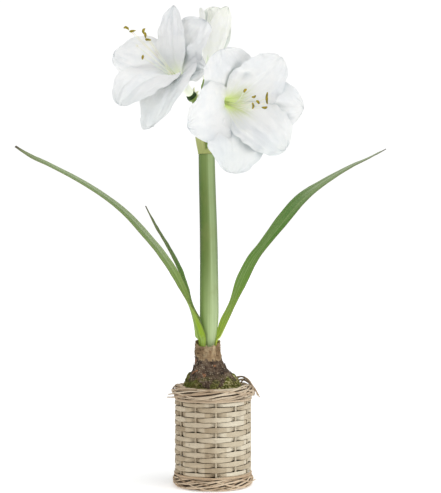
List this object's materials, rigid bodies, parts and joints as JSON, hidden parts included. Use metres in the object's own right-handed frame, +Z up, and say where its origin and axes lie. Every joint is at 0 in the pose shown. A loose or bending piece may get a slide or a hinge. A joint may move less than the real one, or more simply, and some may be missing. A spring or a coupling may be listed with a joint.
{
  "type": "potted amaryllis in a willow basket",
  "caption": "Flowering amaryllis with white trumpet blooms and strap leaves, growing from its bulb in moss and soil in a round woven willow basket.",
  "frame": {"origin": "centre of the basket's flat underside, on the basket's axis", "axes": "+Z up along the scape; the open blooms face -Y, which is the front; +X is to the right seen from the front"},
  "size_m": [0.5168, 0.1952, 0.6787],
  "materials": {
    "willow": "dry peeled willow, flat strands",
    "willow_rod": "dry round willow rods with patches of bark",
    "liner": "thin dark film",
    "soil": "moist potting compost",
    "moss": "soft moss",
    "bulb": "papery brown tunic, flaking",
    "stem": "smooth, slightly waxy",
    "spathe": "thin drying bracts",
    "leaf": "satin, with fine veins along it",
    "petal": "soft white petal with fine veins, greenish at the throat",
    "stamen": "pale filaments with olive-gold pollen"
  },
  "bodies": {
    "root": {"basket_base": "willow", "basket_foot_border": "willow_rod", "basket_stake_01": "willow", "basket_stake_02": "willow", "basket_stake_03": "willow", "basket_stake_04": "willow", "basket_stake_05": "willow", "basket_stake_06": "willow", "basket_stake_07": "willow", "basket_stake_08": "willow", "basket_stake_09": "willow", "basket_stake_10": "willow", "basket_stake_11": "willow", "basket_weaver": "willow", "basket_rim_border": "willow_rod", "liner": "liner", "soil": "soil", "moss": "moss", "bulb": "bulb", "scape": "stem", "spathe": "spathe", "leaf_left": "leaf", "leaf_left_small": "leaf", "leaf_right": "leaf", "bloom_right": "petal", "bloom_left": "petal", "bloom_top": "petal", "stamens_right": "stamen", "stamens_left": "stamen"}
  },
  "joints": []
}
